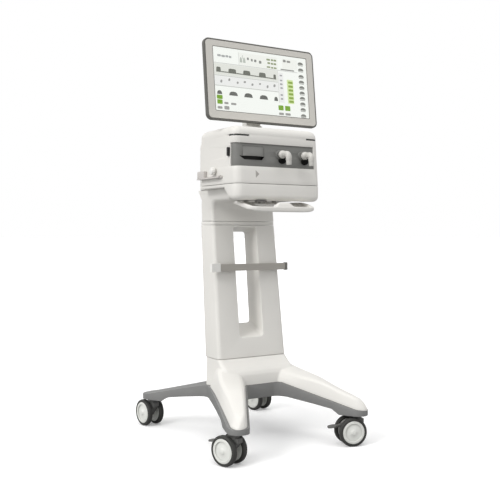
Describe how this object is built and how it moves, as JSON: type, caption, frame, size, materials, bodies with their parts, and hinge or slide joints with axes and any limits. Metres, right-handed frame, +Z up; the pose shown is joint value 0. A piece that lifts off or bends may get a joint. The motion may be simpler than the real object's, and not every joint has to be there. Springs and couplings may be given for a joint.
{
  "type": "mechanical ventilator",
  "caption": "Intensive-care mechanical ventilator with a tilting touchscreen and front gas ports, standing on a slim windowed column over a star-shaped caster trolley with braked wheels.",
  "frame": {"origin": "on the floor, on the middle plane, level with the patient unit above the middle of the caster base", "axes": "+Z up; the screen and the patient ports face -Y; +X is to the right for someone facing the screen"},
  "size_m": [0.5959, 0.7503, 1.4291],
  "materials": {
    "frame_grey": "fine satin powder coat",
    "socket_steel": "turned, bright",
    "white_shell": "fine matt moulded texture",
    "panel_grey_light": "fine matt moulded texture",
    "rail_alu": "satin anodised",
    "cap_white": "smooth satin",
    "cap_dark": "satin",
    "band_grey": "fine matt moulded texture",
    "elbow_grey": "satin",
    "module_grey": "satin",
    "signal_black": "smoked translucent",
    "rear_metal": "satin",
    "black_plastic": "satin",
    "brass_fitting": "machined",
    "pcb_green": "solder mask",
    "battery_case": "shrink film",
    "impeller_white": "smooth",
    "bezel_light": "smooth satin",
    "rim_grey": "soft satin",
    "screen_glass": "anti-glare coated",
    "screen_lit": "lit display",
    "fork_grey": "glass-filled nylon, satin",
    "hub_white": "smooth satin",
    "tyre_dark": "smooth tread"
  },
  "bodies": {
    "root": {"base_frame": "frame_grey", "caster_sockets": "socket_steel", "base_cover": "white_shell", "column_spine": "socket_steel", "column_shell": "white_shell", "column_back": "panel_grey_light", "column_head": "white_shell", "push_handle": "white_shell", "rail_bar": "rail_alu", "rail_standoffs": "socket_steel", "rail_cap_left": "cap_white", "rail_cap_right": "cap_dark", "base_screws": "socket_steel", "unit_tray": "white_shell", "unit_housing": "white_shell", "port_panel": "band_grey", "sensor_cassette": "module_grey", "alarm_lights": "signal_black", "rear_panel": "rear_metal", "side_bracket": "module_grey", "gas_inlets": "brass_fitting", "power_inlet": "black_plastic", "mainboard": "pcb_green", "power_supply": "rear_metal", "battery_packs": "battery_case", "blower_housing": "rear_metal", "fan_frame": "black_plastic", "neck_base": "white_shell"},
    "fl_caster": {"caster_fl_fork": "fork_grey", "caster_fl_axle": "socket_steel"},
    "fl_wheels": {"caster_fl_hubs": "hub_white", "caster_fl_tyres": "tyre_dark"},
    "fl_brake": {"caster_fl_pedal": "fork_grey"},
    "fr_caster": {"caster_fr_fork": "fork_grey", "caster_fr_axle": "socket_steel"},
    "fr_wheels": {"caster_fr_hubs": "hub_white", "caster_fr_tyres": "tyre_dark"},
    "fr_brake": {"caster_fr_pedal": "fork_grey"},
    "rl_caster": {"caster_rl_fork": "fork_grey", "caster_rl_axle": "socket_steel"},
    "rl_wheels": {"caster_rl_hubs": "hub_white", "caster_rl_tyres": "tyre_dark"},
    "rr_caster": {"caster_rr_fork": "fork_grey", "caster_rr_axle": "socket_steel"},
    "rr_wheels": {"caster_rr_hubs": "hub_white", "caster_rr_tyres": "tyre_dark"},
    "hatch": {"access_hatch": "band_grey"},
    "exp_port": {"exp_elbow": "elbow_grey"},
    "insp_port": {"insp_elbow": "elbow_grey"},
    "knob": {"side_knob": "cap_white"},
    "latch": {"side_latch": "black_plastic"},
    "switch": {"power_switch": "black_plastic"},
    "impeller": {"blower_impeller": "impeller_white"},
    "fan": {"fan_rotor": "black_plastic"},
    "yoke": {"monitor_yoke": "panel_grey_light"},
    "screen": {"monitor_rear": "panel_grey_light", "monitor_bezel": "bezel_light", "monitor_rim": "rim_grey", "touch_glass": "screen_glass", "lcd_panel": "screen_lit"}
  },
  "joints": [
    {"name": "fl_swivel", "type": "hinge", "parent": "root", "child": "fl_caster", "pos_m": [-0.25, -0.345, 0.11], "axis": [0, 0, 1], "continuous": true},
    {"name": "fl_roll", "type": "hinge", "parent": "fl_caster", "child": "fl_wheels", "pos_m": [-0.25814, -0.32136, 0.05], "axis": [0.9455, 0.3256, 0], "continuous": true},
    {"name": "fl_brake_press", "type": "hinge", "parent": "fl_caster", "child": "fl_brake", "pos_m": [-0.26107, -0.31285, 0.078], "axis": [0.9455, 0.3256, 0], "range_deg": [-10, 0]},
    {"name": "fr_swivel", "type": "hinge", "parent": "root", "child": "fr_caster", "pos_m": [0.25, -0.345, 0.11], "axis": [0, 0, 1], "continuous": true},
    {"name": "fr_roll", "type": "hinge", "parent": "fr_caster", "child": "fr_wheels", "pos_m": [0.22622, -0.33727, 0.05], "axis": [0.309, 0.9511, 0], "continuous": true},
    {"name": "fr_brake_press", "type": "hinge", "parent": "fr_caster", "child": "fr_brake", "pos_m": [0.21766, -0.33449, 0.078], "axis": [0.309, 0.9511, 0], "range_deg": [-10, 0]},
    {"name": "rl_swivel", "type": "hinge", "parent": "root", "child": "rl_caster", "pos_m": [-0.25, 0.28, 0.11], "axis": [0, 0, 1], "continuous": true},
    {"name": "rl_roll", "type": "hinge", "parent": "rl_caster", "child": "rl_wheels", "pos_m": [-0.25348, 0.30476, 0.05], "axis": [0.9903, 0.1392, 0], "continuous": true},
    {"name": "rr_swivel", "type": "hinge", "parent": "root", "child": "rr_caster", "pos_m": [0.25, 0.28, 0.11], "axis": [0, 0, 1], "continuous": true},
    {"name": "rr_roll", "type": "hinge", "parent": "rr_caster", "child": "rr_wheels", "pos_m": [0.24566, 0.30462, 0.05], "axis": [0.9848, 0.1736, 0], "continuous": true},
    {"name": "hatch_open", "type": "hinge", "parent": "root", "child": "hatch", "pos_m": [-0.102, -0.2195, 1.044], "axis": [1, 0, 0], "range_deg": [-80, 0]},
    {"name": "exp_elbow_turn", "type": "hinge", "parent": "root", "child": "exp_port", "pos_m": [0.005, -0.214, 1.02], "axis": [0, -1, 0], "continuous": true},
    {"name": "insp_elbow_turn", "type": "hinge", "parent": "root", "child": "insp_port", "pos_m": [0.101, -0.214, 1.02], "axis": [0, -1, 0], "continuous": true},
    {"name": "side_knob_turn", "type": "hinge", "parent": "root", "child": "knob", "pos_m": [-0.185, -0.085, 0.964], "axis": [-1, 0, 0], "range_deg": [0, 270]},
    {"name": "side_latch_press", "type": "slide", "parent": "root", "child": "latch", "axis": [1, 0, 0], "range_m": [0, 0.003]},
    {"name": "power_rocker", "type": "hinge", "parent": "root", "child": "switch", "pos_m": [0.1, 0.082, 0.95], "axis": [0, 0, 1], "range_deg": [-8, 8]},
    {"name": "blower_spin", "type": "hinge", "parent": "root", "child": "impeller", "pos_m": [0.04, -0.11, 0.985], "axis": [0, 0, 1], "continuous": true},
    {"name": "fan_spin", "type": "hinge", "parent": "root", "child": "fan", "pos_m": [0.07, 0.07, 1.035], "axis": [0, 1, 0], "continuous": true},
    {"name": "monitor_swivel", "type": "hinge", "parent": "root", "child": "yoke", "pos_m": [0, -0.04, 1.127], "axis": [0, 0, 1], "range_deg": [-90, 90]},
    {"name": "monitor_tilt", "type": "hinge", "parent": "yoke", "child": "screen", "pos_m": [0, -0.04, 1.225], "axis": [1, 0, 0], "range_deg": [-20, 10]}
  ]
}
